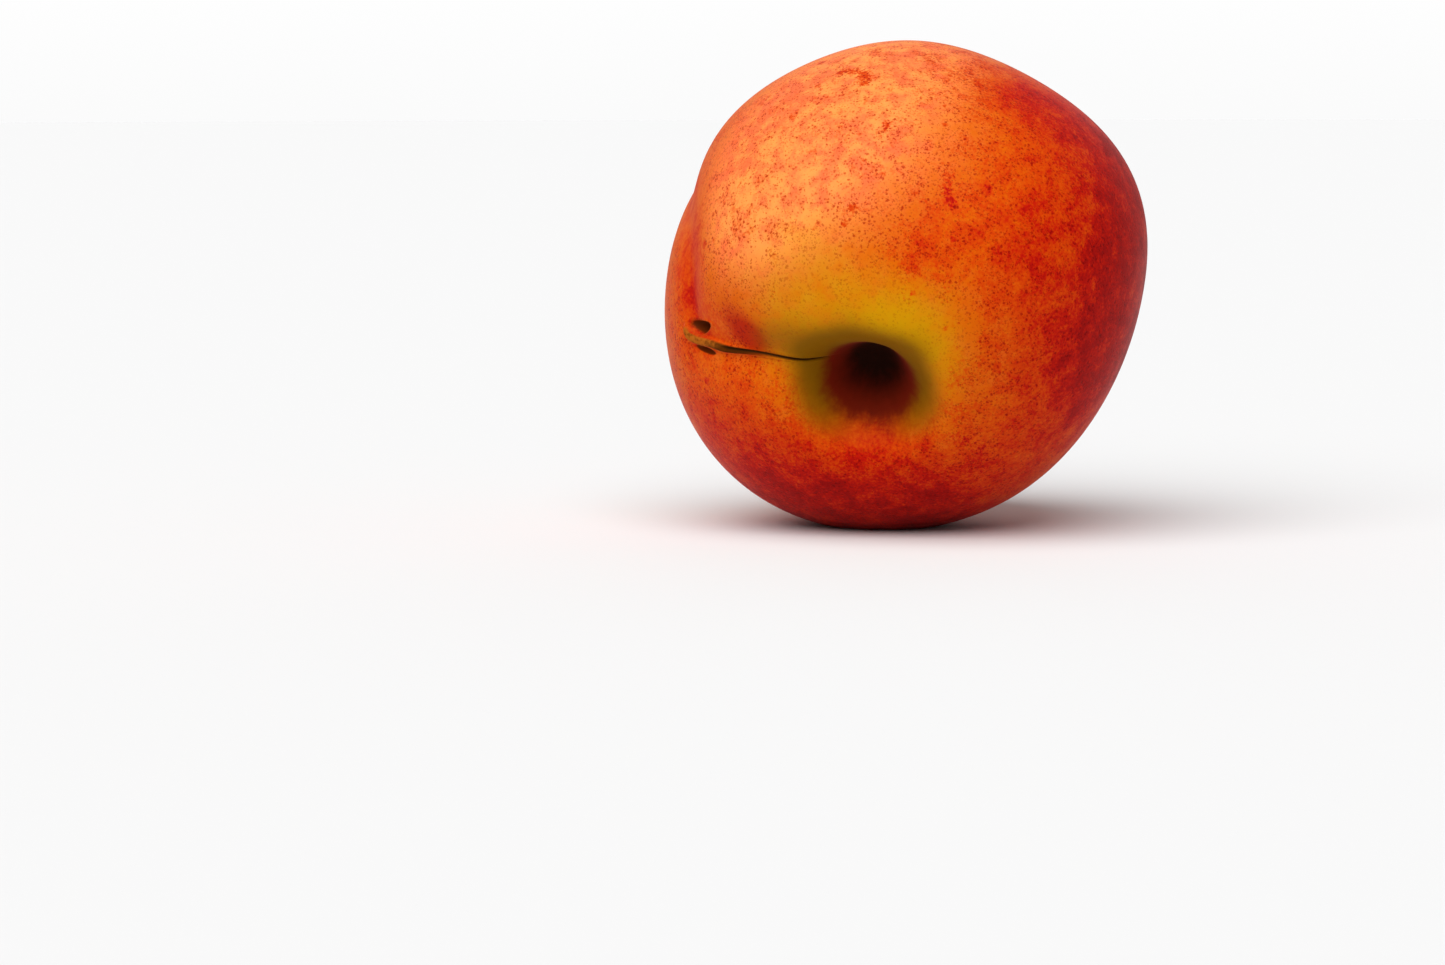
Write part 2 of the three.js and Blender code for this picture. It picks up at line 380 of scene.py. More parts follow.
# The three patches at the front, the top and the upper left face the key light and are a painted
# highlight; the two towards the back are pale bloom.
HIGHLIGHT_AND_BLOOM_PATCHES = (
    ((-0.31, -0.65, 0.69), 24, 1.2),
    ((-0.55, -0.75, 0.36), 16, 0.9),
    ((0.0, -0.3, 0.95), 22, 0.8),
    ((-0.5, 0.55, 0.67), 22, 0.8),
    ((-0.75, 0.3, -0.6), 18, 0.7),
)
ROSE_PATCHES = (
    ((-0.41, -0.41, 0.82), 12, 0.55),
    ((-0.74, -0.37, 0.57), 13, 0.6),
    ((-0.2, -0.78, 0.59), 12, 0.35),
    ((0.04, -0.36, 0.93), 9, 0.45),
    ((0.38, -0.2, 0.9), 11, 0.6),
    ((-0.6, 0.5, 0.6), 12, 0.5),
)
# Painted shade: gold skin darkened just above the rim of the stem cavity, where the surface turns
# down away from the light. The last patch takes it away below the cavity.
OLIVE_SHADE_PATCHES = (
    ((-0.55, -0.8, -0.2), 8, 0.5),
    ((-0.4, -0.9, -0.2), 8, 0.5),
    ((-0.2, -0.95, -0.1), 8, 0.3),
    ((0.1, -1.0, -0.2), 8, 0.4),
    ((-0.1, -0.7, -0.7), 14, -0.8),
)
YELLOW_PATCHES = (
    ((0.0, -1.0, -0.05), 15, 0.35),
    ((0.1, -1.0, -0.2), 12, 0.3),
    ((-0.45, -0.9, 0.0), 16, 0.35),
    ((-0.3, -0.9, 0.25), 10, 0.2),
    ((-0.05, -0.7, -0.7), 14, -0.4),
    ((-0.35, 0.8, 0.45), 18, 0.55),
    ((-0.8, 0.58, 0.0), 14, 0.2),
    ((-0.62, 0.72, -0.25), 22, 0.28),
)
STAIN_PATCHES = (
    ((-0.63, -0.75, -0.2), 5, 0.9),
    ((-0.68, -0.72, -0.14), 5, 0.5),
    ((-0.72, -0.69, -0.06), 5, 0.25),
)
SPOT_PATCHES = (
    ((-0.22, -0.38, 0.898), 1.7, 0.7),
    ((-0.17, -0.4, 0.9), 1.8, 0.8),
    ((-0.12, -0.435, 0.895), 1.8, 0.9),
    ((-0.13, -0.49, 0.862), 2.1, 1.0),
    ((-0.13, -0.83, 0.54), 1.2, 0.5),
    ((-0.16, -0.92, 0.36), 1.3, 0.9),
    ((-0.2, -0.93, 0.3), 1.1, 0.7),
    ((-0.04, -0.73, 0.68), 1.2, 0.6),
    ((0.2, -0.87, 0.45), 3, 0.4),
    ((0.22, -0.9, 0.37), 2.4, 0.4),
    ((0.24, -0.78, -0.58), 2.2, 0.6),
    ((0.3, -0.735, -0.61), 2, 0.6),
    ((0.36, -0.69, -0.63), 2, 0.6),
    ((0.5, 0.3, 0.8), 2.4, 0.8),
    ((-0.5, 0.8, 0.3), 1.8, 0.8),
    ((-0.2, 0.6, 0.75), 1.6, 0.7),
)

BLUSH_CEILING = 1.15

# The suture's own blush, the fine seam in it, the gold ring round the stem cavity and a ring
# of painted shade round its rim. Reaches are in mm and marks along the fruit in degrees.
SUTURE_BLUSH_ASIDE = -1
SUTURE_BLUSH_REACH = 4.5
SUTURE_BLUSH_STARTS = (34, 56)
SUTURE_BLUSH_EASES = (85, 105)
SUTURE_BLUSH_EASES_BY = 0.7
SEAM_REACH = 0.22
SEAM_STARTS = (108, 150)
GOLD_RING_RADIUS = 8
GOLD_RING_REACH = 9
GOLD_RING_STRENGTH = 0.4
OLIVE_SHADE_RING = (14, 7)
# The cork is dark towards the stem end, where the ridge is thin and partly in painted shade, and
# turns tan between these marks.
CORK_TURNS_TAN = (36, 52)


def patches(points, centre, spots):
    ray = points - centre
    ray = ray / np.linalg.norm(ray, axis=-1, keepdims=True)
    total = np.zeros(points.shape[:-1])
    for towards, spread, strength in spots:
        nearness = ray @ np.array(Vector(towards).normalized())
        total += strength * np.exp((nearness - 1) / (1 - math.cos(spread * DEG)))
    return total


def skin_fields(points, centre, facts):
    """Smooth fields, most of them from 0 to 1, that the finish mixes its colours by."""
    colatitude, from_axis = facts["colatitude"], facts["from_axis"]
    aside, suture_side = facts["aside"], facts["suture_side"]
    suture = bell(aside - SUTURE_BLUSH_ASIDE, SUTURE_BLUSH_REACH) * suture_side
    suture = suture * fade_along(SUTURE_BLUSH_STARTS, colatitude)
    suture = suture * (1 - SUTURE_BLUSH_EASES_BY * fade_along(SUTURE_BLUSH_EASES, colatitude))
    seam = bell(aside, SEAM_REACH) * suture_side * fade_along(SEAM_STARTS, colatitude)
    gold = GOLD_RING_STRENGTH * bell(from_axis - GOLD_RING_RADIUS, GOLD_RING_REACH)
    yellow = patches(points, centre, YELLOW_PATCHES) + gold
    # Painted shade that deepens from 14 mm to 7 mm from the stem axis round the cavity's rim, and
    # above it from the patches.
    olive_shade = patches(points, centre, OLIVE_SHADE_PATCHES) + fade(*OLIVE_SHADE_RING, from_axis)
    return {
        "blush": np.clip(patches(points, centre, BLUSH_AND_SHADE_PATCHES), 0, BLUSH_CEILING),
        "yellow": np.clip(yellow, 0, 1),
        "pale": np.clip(patches(points, centre, HIGHLIGHT_AND_BLOOM_PATCHES), 0, 1),
        "rose": np.clip(patches(points, centre, ROSE_PATCHES), 0, 1),
        "stain": np.clip(patches(points, centre, STAIN_PATCHES), 0, 1),
        "shoulder": np.clip(olive_shade, 0, 1),
        "spots": patches(points, centre, SPOT_PATCHES),
        "suture": suture,
        "seam": seam,
        "hollow": facts["hollow"],
        "cork": facts["ridge"],
        "tan_cork": fade_along(CORK_TURNS_TAN, colatitude),
        "slit_lip": facts["slit_lip"],
        "crack": facts["crack"],
        "holes": facts["holes"],
        "blossom_end": facts["dimple"] ** 0.5,
        "tip": facts["tip"],
    }


# Fine streaks run from end to end: the size of their noise round the fruit and along it.
STREAK_ROUND = 22
STREAK_ALONG = 7


def streak_places(facts):
    """Where each point lies in the noise of the streaks, which is drawn out along the fruit."""
    colatitude, longitude = facts["colatitude"], facts["longitude"]
    round_fruit = STREAK_ROUND * np.sin(colatitude) ** 0.5
    across = round_fruit * np.cos(longitude), round_fruit * np.sin(longitude)
    return np.stack([*across, STREAK_ALONG * colatitude], -1)


def new_node(tree, kind, **settings):
    """A shader node with its settings and its inputs, which are values or other sockets."""
    node = tree.nodes.new("ShaderNode" + kind)
    inputs = settings.pop("inputs", {})
    for name, value in settings.items():
        setattr(node, name, value)
    for name, value in inputs.items():
        socket = node.inputs[name]
        if isinstance(value, bpy.types.NodeSocket):
            tree.links.new(value, socket)
        else:
            socket.default_value = value
    return node


def field(tree, name):
    return new_node(tree, "Attribute", attribute_name=name).outputs["Fac"]


def maths(tree, operation, *values, clamp=False):
    node = new_node(tree, "Math", operation=operation, use_clamp=clamp)
    for socket, value in zip(node.inputs, values):
        if isinstance(value, bpy.types.NodeSocket):
            tree.links.new(value, socket)
        else:
            socket.default_value = value
    return node.outputs[0]


def span(tree, value, start, end, low=0.0, high=1.0):
    """Eases a value from low to high as it goes from start to end."""
    node = new_node(
        tree,
        "MapRange",
        interpolation_type="SMOOTHSTEP",
        inputs={"Value": value, "From Min": start, "From Max": end, "To Min": low, "To Max": high},
    )
    return node.outputs["Result"]


def blend(tree, share, first, second, how="MIX"):
    node = new_node(tree, "Mix", data_type="RGBA", clamp_factor=True, blend_type=how)
    for index, value in ((0, share), (6, first), (7, second)):
        if isinstance(value, bpy.types.NodeSocket):
            tree.links.new(value, node.inputs[index])
        else:
            node.inputs[index].default_value = value
    return node.outputs[2]


def noise(tree, place, scale, detail=3.0, roughness=0.55, distortion=0.0):
    node = new_node(
        tree,
        "TexNoise",
        inputs={
            "Vector": place,
            "Scale": scale,
            "Detail": detail,
            "Roughness": roughness,
            "Distortion": distortion,
        },
    )
    return node.outputs["Fac"]


def linear(red, green, blue):
    """A colour of the shader from its everyday 0 to 255 values."""
    shares = (value / 255 for value in (red, green, blue))
    return tuple(s / 12.92 if s < 0.0405 else ((s + 0.055) / 1.055) ** 2.4 for s in shares)


def opaque(colour):
    return (*colour, 1.0)


# The noises that vary the skin: scale per mm, detail, roughness and distortion.
NOISES = {
    "clouds": (0.07, 3.0, 0.55),
    "mottle": (0.3, 5.0, 0.7, 0.3),
    "grain": (2.2, 3.0, 0.6),
    "clusters": (0.4, 4.0, 0.62),
    "fibres": (1.6, 3.0),
    "ripples": (2.0, 3.0),
    "unevenness": (0.45, 2.0),
}
STREAKS = (0.5, 4.0, 0.6)

# How far the noises sway the fields up and down.
SWAYS = {
    "blush": {"clouds": 0.3, "mottle": 1.7, "grain": 1.1, "streaks": 0.35},
    "spots": {"mottle": 1.4, "grain": 0.8},
    "yellow": {"mottle": 0.8},
    "pale": {"mottle": 0.6},
    "stain": {"mottle": 0.2},
    "shoulder": {"mottle": 0.25},
    "hollow": {"streaks": 0.18, "mottle": 0.2},
    "holes": {"grain": 0.15},
}

# How much the other fields, the freckles and the small brown spots add to the blush.
ADDED_BLUSH = {"suture": 0.42, "blossom_end": 0.9, "seam": 0.5, "yellow": -0.45}
FRECKLE_BLUSH = 0.4
SPOT_EDGE = (0.25, 0.75)
SPOT_BLUSH = 0.5

# The stretch of its own field over which each colour comes in.
COMES_IN = {
    "pale": (0.0, 0.9),
    "rose": (0.37, 0.74),
    "gold": (0.05, 0.95),
    "flush": (0.0, 0.6),
    "crimson": (0.45, 1.05),
    "dark_crimson": (0.85, 1.4),
    "stain": (0.0, 0.9),
    "olive_shade": (0.1, 1.0),
    "cavity_wall": (0.22, 0.5),
    "hollow": (0.5, 0.95),
    "fibres": (0.1, 0.6),
    "cork": (0.3, 0.8),
    "slit": (0.08, 0.35),
    "crack": (0.3, 0.9),
    "tip": (0.5, 0.9),
}

# The rose hazes gather in their own field, and are weaker where the skin isn't pale: the
# stretch of the pale field, and the strengths at its two ends.
ROSE_GATHERS = 0.32
ROSE_BY_PALE = (0.0, 0.8, 0.15, 0.9)
LIP_CORK = 0.5

# Specks are so many to a mm and have a radius in mm. Their sizes start at a share of the
# radius, their edges are soft, and a noise bends them.
SPECK_LEAST = 0.6
SPECK_EDGE = (1.0, 0.6)
SPECK_BEND_SCALE = 0.6
SPECK_BEND = 2.4
FRECKLES = (0.17, 0.7)
FRECKLES_KEPT = 0.45
COARSE_PORES = (1.9, 0.17)
FINE_PORES = (2.9, 0.11)
FINE_PORE_STRENGTH = 0.75

# The share of the pores that is kept where they cluster, and their strength by the mottle
# and by the fields: the stretch of the noise or field, and the values at its two ends.
COARSE_PORES_KEPT = (0.38, 0.6, 0.4, 1.0)
FINE_PORES_KEPT = (0.38, 0.6, 0.5, 1.0)
PORES_BY_MOTTLE = (0.3, 0.6, 0.55, 1.0)
PORES_BY_FIELD = {
    "hollow": (0.25, 0.02, 0.0, 1.0),
    "suture": (0.0, 0.5, 1.0, 0.2),
    "yellow": (0.1, 0.6, 1.0, 0.4),
}

# The skin's fine relief, and how dull it is.
PORE_RELIEF = -0.5
RELIEF = {"ripples": 0.3, "unevenness": 0.6}
BUMP_STRENGTH = 0.3
BUMP_HEIGHT = 0.12 * MM
DULLNESS_SWAY = 0.14
DULLER = {"cork": 0.4, "hollow": 0.4}


def specks(tree, place, scale, radius, keep):
    """Small dark comma-like pores of uneven size, of which only a share is kept."""
    bend = new_node(
        tree,
        "TexNoise",
        inputs={"Vector": place, "Scale": SPECK_BEND_SCALE / radius, "Detail": 1.0},
    )
    bent = new_node(
        tree,
        "VectorMath",
        operation="MULTIPLY_ADD",
        inputs={0: bend.outputs["Color"], 1: (SPECK_BEND * radius,) * 3, 2: place},
    ).outputs[0]
    cells = new_node(tree, "TexVoronoi", inputs={"Vector": bent, "Scale": scale})
    chance = new_node(tree, "SeparateColor", inputs={0: cells.outputs["Color"]})
    size = radius * scale
    reach = maths(tree, "MULTIPLY_ADD", chance.outputs[1], size, size * SPECK_LEAST)
    dot = span(tree, maths(tree, "DIVIDE", cells.outputs["Distance"], reach), *SPECK_EDGE)
    kept = maths(tree, "LESS_THAN", chance.outputs[0], keep)
    return maths(tree, "MULTIPLY", dot, kept)


def skin_noises(tree, place):
    """The noises by name. The streaks have places of their own, drawn out along the fruit."""
    noises = {name: noise(tree, place, *settings) for name, settings in NOISES.items()}
    drawn_out = new_node(tree, "Attribute", attribute_name="streak").outputs["Vector"]
    noises["streaks"] = noise(tree, drawn_out, *STREAKS)
    return noises


def swayed(tree, noises, name):
    """A field that the noises, which are 0.5 on the whole, sway up and down."""
    value = field(tree, name)
    for texture, amount in SWAYS[name].items():
        shift = maths(tree, "SUBTRACT", noises[texture], 0.5)
        value = maths(tree, "MULTIPLY_ADD", shift, amount, value)
    return value


def laid(tree, colour, name, share, tint):
    """Lays a tint over a colour, over the stretch of the share that the name stands for."""
    return blend(tree, span(tree, share, *COMES_IN[name]), colour, tint)


def ground_colour(tree, noises, finish):
    """Orange with pale bloom and a painted highlight, rose hazes in it and gold round the stem
    cavity.
    """
    pale = span(tree, swayed(tree, noises, "pale"), *COMES_IN["pale"])
    ground = blend(tree, pale, opaque(finish.orange), opaque(finish.pale))
    rose = maths(tree, "MULTIPLY_ADD", field(tree, "rose"), ROSE_GATHERS, noises["clusters"])
    rose = span(tree, rose, *COMES_IN["rose"])
    rose = maths(tree, "MULTIPLY", rose, span(tree, pale, *ROSE_BY_PALE))
    ground = blend(tree, rose, ground, opaque(finish.rose))
    yellow = swayed(tree, noises, "yellow")
    return laid(tree, ground, "gold", yellow, opaque(finish.gold))


def skin_blush(tree, place, noises):
    """How red the skin is, from the mottled ground to the darkest blush."""
    freckles = specks(tree, place, *FRECKLES, FRECKLES_KEPT)
    spots = span(tree, swayed(tree, noises, "spots"), *SPOT_EDGE)
    blush = swayed(tree, noises, "blush")
    blush = maths(tree, "MULTIPLY_ADD", freckles, FRECKLE_BLUSH, blush)
    for name, share in ADDED_BLUSH.items():
        blush = maths(tree, "MULTIPLY_ADD", field(tree, name), share, blush)
    return maths(tree, "MULTIPLY_ADD", spots, SPOT_BLUSH, blush)


def skin_pores(tree, place, noises):
    """Where the pores are and how strong, from 0 to 1."""
    clusters = noises["clusters"]
    coarse = specks(tree, place, *COARSE_PORES, span(tree, clusters, *COARSE_PORES_KEPT))
    fine = specks(tree, place, *FINE_PORES, span(tree, clusters, *FINE_PORES_KEPT))
    pores = maths(tree, "MAXIMUM", coarse, maths(tree, "MULTIPLY", fine, FINE_PORE_STRENGTH))
    pores = maths(tree, "MULTIPLY", pores, span(tree, noises["mottle"], *PORES_BY_MOTTLE))
    for name, marks in PORES_BY_FIELD.items():
        pores = maths(tree, "MULTIPLY", pores, span(tree, field(tree, name), *marks))
    return pores


def cavity_colour(tree, colour, noises, finish):
    """Painted shade round the cavity's rim, the wall's dark red that is partly painted shade, and
    painted shade deep in the cavity.
    """
    shoulder = swayed(tree, noises, "shoulder")
    colour = laid(tree, colour, "olive_shade", shoulder, opaque(finish.olive_shade))
    walls = swayed(tree, noises, "hollow")
    colour = laid(tree, colour, "cavity_wall", walls, opaque(finish.cavity_wall))
    return laid(tree, colour, "hollow", walls, opaque(finish.hollow))


def split_colour(tree, colour, noises, finish):
    """Cork on the ridge, the slit's lip and the dried tip, dark cork that is partly painted shade,
    the slit's brown, which is a painted shadow in the gap, and the crack's painted shade.
    """
    fibres = maths(tree, "MULTIPLY", noises["fibres"], field(tree, "tan_cork"))
    cork_tint = laid(tree, opaque(finish.cork_dark), "fibres", fibres, opaque(finish.cork))
    lip = maths(tree, "MULTIPLY", field(tree, "slit_lip"), LIP_CORK)
    cork = maths(tree, "MAXIMUM", field(tree, "cork"), lip)
    colour = laid(tree, colour, "cork", cork, cork_tint)
    holes = swayed(tree, noises, "holes")
    # The slit's brown also fills the gap under the ridge, where it is a painted shadow of the
    # raised ridge.
    colour = laid(tree, colour, "slit", holes, opaque(finish.slit))
    # The crack's dark line is painted shade along the upper edge of the ridge.
    colour = laid(tree, colour, "crack", field(tree, "crack"), opaque(finish.crack))
    return laid(tree, colour, "tip", field(tree, "tip"), cork_tint)


def skin_colour(tree, place, noises, pores, finish):
    colour = ground_colour(tree, noises, finish)
    blush = skin_blush(tree, place, noises)
    for name in ("flush", "crimson", "dark_crimson"):
        colour = laid(tree, colour, name, blush, opaque(getattr(finish, name)))
    stain = swayed(tree, noises, "stain")
    colour = laid(tree, colour, "stain", stain, opaque(finish.stain))
    colour = blend(tree, pores, colour, opaque(finish.speck), "MULTIPLY")
    colour = cavity_colour(tree, colour, noises, finish)
    return split_colour(tree, colour, noises, finish)


def skin_material(finish):
    material = bpy.data.materials.new("waxy_skin")
    material.use_nodes = True
    tree = material.node_tree
    tree.nodes.clear()
    place = new_node(
        tree,
        "VectorMath",
        operation="SCALE",
        inputs={0: new_node(tree, "TexCoord").outputs["Object"], "Scale": 1 / MM},
    ).outputs[0]
    noises = skin_noises(tree, place)
    pores = skin_pores(tree, place, noises)

    relief = maths(tree, "MULTIPLY", pores, PORE_RELIEF)
    for name, share in RELIEF.items():
        relief = maths(tree, "MULTIPLY_ADD", noises[name], share, relief)
    bump = new_node(
        tree,
        "Bump",
        inputs={"Strength": BUMP_STRENGTH, "Distance": BUMP_HEIGHT, "Height": relief},
    )
    least = finish.roughness - DULLNESS_SWAY / 2
    rough = maths(tree, "MULTIPLY_ADD", noises["mottle"], DULLNESS_SWAY, least)
    for name, share in DULLER.items():
        rough = maths(tree, "MULTIPLY_ADD", field(tree, name), share, rough)

    shader = new_node(
        tree,
        "BsdfPrincipled",
        inputs={
            "Base Color": skin_colour(tree, place, noises, pores, finish),
            "Roughness": rough,
            "IOR": 1.45,
            "Specular IOR Level": 0.035,
            "Subsurface Weight": 0.08,
            "Subsurface Radius": (1.0, 0.32, 0.1),
            "Subsurface Scale": 1.5 * MM,
            "Sheen Weight": 0.02,
            "Sheen Roughness": 0.45,
            "Sheen Tint": (1.0, 0.8, 0.76, 1.0),
            "Normal": bump.outputs["Normal"],
        },
    )
    output = new_node(tree, "OutputMaterial")
    tree.links.new(shader.outputs[0], output.inputs["Surface"])
    return material


# The flat map of the skin holds two discs side by side, one for either half of the fruit.
MAP_DISC_RADIUS = 0.24
MAP_STEM_DISC = (0.25, 0.5)
MAP_BLOSSOM_DISC = (0.75, 0.5)
ROUNDING = 1e-6


def bake_places(mesh, colatitude, longitude):
    """Lays the stem half and the blossom half out flat, each as a disc."""
    layer = mesh.uv_layers.new(name="OFBake")
    count = len(mesh.loops)
    corner = np.empty(count, dtype=np.int32)
    mesh.loops.foreach_get("vertex_index", corner)
    faces = np.empty(count, dtype=np.int32)
    for polygon in mesh.polygons:
        faces[polygon.loop_start : polygon.loop_start + polygon.loop_total] = polygon.index
    face_low = np.full(len(mesh.polygons), np.inf)
    np.minimum.at(face_low, faces, colatitude[corner])
    rows_down = row_colatitudes()
    middle = rows_down[np.abs(rows_down - np.pi / 2).argmin()]
    stem_half = face_low[faces] < middle - ROUNDING
    polar = np.where(stem_half, colatitude[corner], np.pi - colatitude[corner])
    turn = np.where(stem_half, longitude[corner], -longitude[corner])
    reach = MAP_DISC_RADIUS * np.sin(polar / 2) / math.sin(math.pi / 4)
    centre = np.where(stem_half[:, None], MAP_STEM_DISC, MAP_BLOSSOM_DISC)
    places = centre + reach[:, None] * np.stack([np.cos(turn), np.sin(turn)], -1)
    layer.data.foreach_set("uv", places.astype(np.float32).ravel())


class NectarineShape(bpy.types.PropertyGroup):
    cheek_radius: bpy.props.FloatProperty(
        name="Cheek radius",
        description="Half the width of the fruit across its cheeks",
        default=35.5 * MM,
        unit="LENGTH",
        subtype="DISTANCE",
    )
    cavity_depth: bpy.props.FloatProperty(
        name="Cavity depth",
        description="How deep the stem cavity is sunk below the shoulders",
        default=14 * MM,
        unit="LENGTH",
        subtype="DISTANCE",
    )
    suture_depth: bpy.props.FloatProperty(
        name="Suture depth",
        description="How deep the suture is at the fruit's belly",
        default=1.6 * MM,
        unit="LENGTH",
        subtype="DISTANCE",
    )


def colour_property(name, description, red, green, blue):
    return bpy.props.FloatVectorProperty(
        name=name,
        description=description,
        default=linear(red, green, blue),
        min=0,
        max=1,
        size=3,
        subtype="COLOR",
    )


class NectarineFinish(bpy.types.PropertyGroup):
    orange: colour_property("Orange", "Ground colour of the skin", 214, 94, 2)
    # Pale orange is a painted highlight where the skin faces the key light, and pale bloom
    # elsewhere.
    pale: colour_property("Pale orange", "Ground colour where the bloom is thick", 252, 150, 72)
    gold: colour_property("Gold", "Ground colour round the stem cavity", 204, 148, 0)
    rose: colour_property("Rose", "Soft hazes in the ground colour", 236, 102, 58)
    flush: colour_property("Flush", "Light red mottling over the ground colour", 208, 66, 2)
    crimson: colour_property("Crimson", "The blush of the sunny cheek", 190, 20, 4)
    dark_crimson: colour_property("Dark crimson", "The darkest blush", 150, 8, 6)
    stain: colour_property("Stain", "A soft red smear beside the healed split", 180, 36, 0)
    speck: colour_property("Specks", "Tint of the skin's pores", 200, 134, 106)
    # This colour is painted shade: gold skin darkened above the rim of the stem cavity.
    olive_shade: colour_property("Olive", "The shoulder round the stem cavity", 128, 84, 0)
    # The cavity wall's dark red is partly the skin's red and partly painted shade; the hollow
    # colour is painted shade in the depth of the stem cavity.
    cavity_wall: colour_property("Cavity wall", "The upper wall of the stem cavity", 112, 26, 8)
    hollow: colour_property("Hollow", "The depth of the stem cavity", 36, 14, 6)
    cork: colour_property("Cork", "The healed edge of the split", 172, 92, 20)
    # Dark cork is where the ridge is thin, and is partly painted shade.
    cork_dark: colour_property("Dark cork", "The cork where it is thin", 74, 32, 0)
    # In the gap under the ridge the slit colour is a painted shadow, and the crack colour is
    # painted shade along the crack.
    slit: colour_property("Slit", "The open holes of the healed split", 104, 40, 4)
    crack: colour_property("Crack", "The fine crack of the healed split", 60, 30, 4)
    roughness: bpy.props.FloatProperty(
        name="Roughness",
        description="How dull the skin is",
        default=0.45,
        min=0,
        max=1,
        subtype="FACTOR",
    )


class NectarineStage(bpy.types.PropertyGroup):
    floor_radius: bpy.props.FloatProperty(
        name="Floor radius",
        description="Radius of the round floor",
        default=4.0,
        unit="LENGTH",
        subtype="DISTANCE",
    )
    key_strength: bpy.props.FloatProperty(
        name="Key light",
        description="Strength of the wide soft light from above and the left",
        default=3.35,
        min=0,
    )
    backdrop_level: bpy.props.FloatProperty(
        name="Backdrop",
        description="Brightness of the plain backdrop behind the fruit",
        default=0.7,
        min=0,
    )
    rim_level: bpy.props.FloatProperty(
        name="Rim light",
        description="Brightness of the surroundings behind and above the fruit",
        default=0.9,
        min=0,
    )
    fill_level: bpy.props.FloatProperty(
        name="Fill light",
        description="Brightness of the surroundings on all other sides",
        default=0.25,
        min=0,
    )


class NECTARINE_OT_grow_fruit(bpy.types.Operator):
    """Grows the skin of the fruit over its solid and finishes it"""

    bl_idname = "nectarine.grow_fruit"
    bl_label = "Grow fruit"

    def execute(self, context):
        points, facts = grow_skin(context.scene.nectarine_shape)
        lying, centre = lay_down(points)
        mesh = bpy.data.meshes.new("nectarine_skin")
        mesh.from_pydata(merged(lying).tolist(), [], skin_faces())
        if mesh.validate():
            raise RuntimeError("the skin has broken faces")
        mesh.shade_smooth()
        for name, grid in skin_fields(lying, centre, facts).items():
            layer = mesh.attributes.new(name, "FLOAT", "POINT")
            layer.data.foreach_set("value", merged(grid).astype(np.float32))
        layer = mesh.attributes.new("streak", "FLOAT_VECTOR", "POINT")
        layer.data.foreach_set("vector", merged(streak_places(facts)).astype(np.float32).ravel())
        bake_places(mesh, merged(facts["colatitude"]), merged(facts["longitude"]))
        mesh.materials.append(skin_material(context.scene.nectarine_finish))
        fruit = bpy.data.objects.new("nectarine_fruit", mesh)
        context.scene.collection.objects.link(fruit)
        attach(fruit, "root")
        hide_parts(NODE)
        context.scene["nectarine_centre"] = centre.tolist()
        return {"FINISHED"}


# The camera: the distance and the range that it sees are in metres, the lens and the sensor
# in mm, and the image and the fruit's place in it in pixels.
VIEW_ELEVATION = 3.0
VIEW_DISTANCE = 0.65
IMAGE_WIDTH = 1445
IMAGE_HEIGHT = 965
LENS = 110.33
SENSOR_WIDTH = 36.0
FRUIT_IN_IMAGE = (894.0, 286.4)
NEAREST_SEEN = 0.01
FARTHEST_SEEN = 50


def camera_matrix(centre):
    """Where the camera stands in front of the fruit, which it holds high and right in view."""
    elevation = VIEW_ELEVATION * DEG
    back = Vector((0, -math.cos(elevation), math.sin(elevation)))
    place = centre + back * VIEW_DISTANCE
    focal = LENS / SENSOR_WIDTH * IMAGE_WIDTH
    right = Vector((1, 0, 0))
    forward = -back
    up = right.cross(forward)
    yaw = math.atan((FRUIT_IN_IMAGE[0] - IMAGE_WIDTH / 2) / focal)
    pitch = math.atan((IMAGE_HEIGHT / 2 - FRUIT_IN_IMAGE[1]) / focal * math.cos(yaw))
    turned = forward * math.cos(yaw) - right * math.sin(yaw)
    across = right * math.cos(yaw) + forward * math.sin(yaw)
    ahead = turned * math.cos(pitch) - up * math.sin(pitch)
    upward = up * math.cos(pitch) + turned * math.sin(pitch)
    matrix = Matrix((across, upward, -ahead)).transposed().to_4x4()
    matrix.translation = place
    return matrix


def studio_camera(centre):
    data = bpy.data.cameras.new("camera")
    data.lens = LENS
    data.sensor_width = SENSOR_WIDTH
    data.clip_start = NEAREST_SEEN
    data.clip_end = FARTHEST_SEEN
    camera = bpy.data.objects.new("camera", data)
    camera.matrix_world = camera_matrix(centre)
    return camera


# Where the key light comes from, and how many degrees of the sky it fills.
KEY_FROM = (-0.2, -0.52, 0.83)
KEY_WIDTH = 70


def soft_key(strength):
    """A wide light from far off, so that its shadows are soft and the floor is evenly lit."""
    data = bpy.data.lights.new("soft_key", "SUN")
    data.energy = strength
    data.angle = KEY_WIDTH * DEG
    light = bpy.data.objects.new("soft_key", data)
    light.rotation_euler = (-Vector(KEY_FROM)).to_track_quat("-Z", "Y").to_euler()
    bpy.context.scene.collection.objects.link(light)


# Where the rim light of the surroundings comes in, behind the fruit and above the floor.
RIM_BEHIND = (0.5, 0.95)
RIM_ABOVE = (-0.05, 0.35)


def studio_world(backdrop_level, rim_level, fill_level):
    """A plain white backdrop, and a soft fill that is brighter from above and behind."""
    world = bpy.data.worlds.new("studio")
    world.use_nodes = True
    tree = world.node_tree
    direction = new_node(tree, "TexCoord").outputs["Generated"]
    towards = new_node(tree, "SeparateXYZ", inputs={0: direction})
    behind = span(tree, towards.outputs["Y"], *RIM_BEHIND)
    above = span(tree, towards.outputs["Z"], *RIM_ABOVE)
    rim = maths(tree, "MULTIPLY", behind, above)
    light = maths(tree, "MULTIPLY_ADD", rim, rim_level - fill_level, fill_level)
    seen = new_node(tree, "LightPath").outputs["Is Camera Ray"]
    level = maths(tree, "ADD", light, maths(tree, "MULTIPLY", seen, backdrop_level))
    background = tree.nodes["Background"]
    background.inputs["Color"].default_value = (1, 1, 1, 1)
    tree.links.new(level, background.inputs["Strength"])
    return world


FLOOR_SIDES = 96
FLOOR_COLOUR = (0.8, 0.8, 0.8, 1)
FLOOR_ROUGHNESS = 0.7


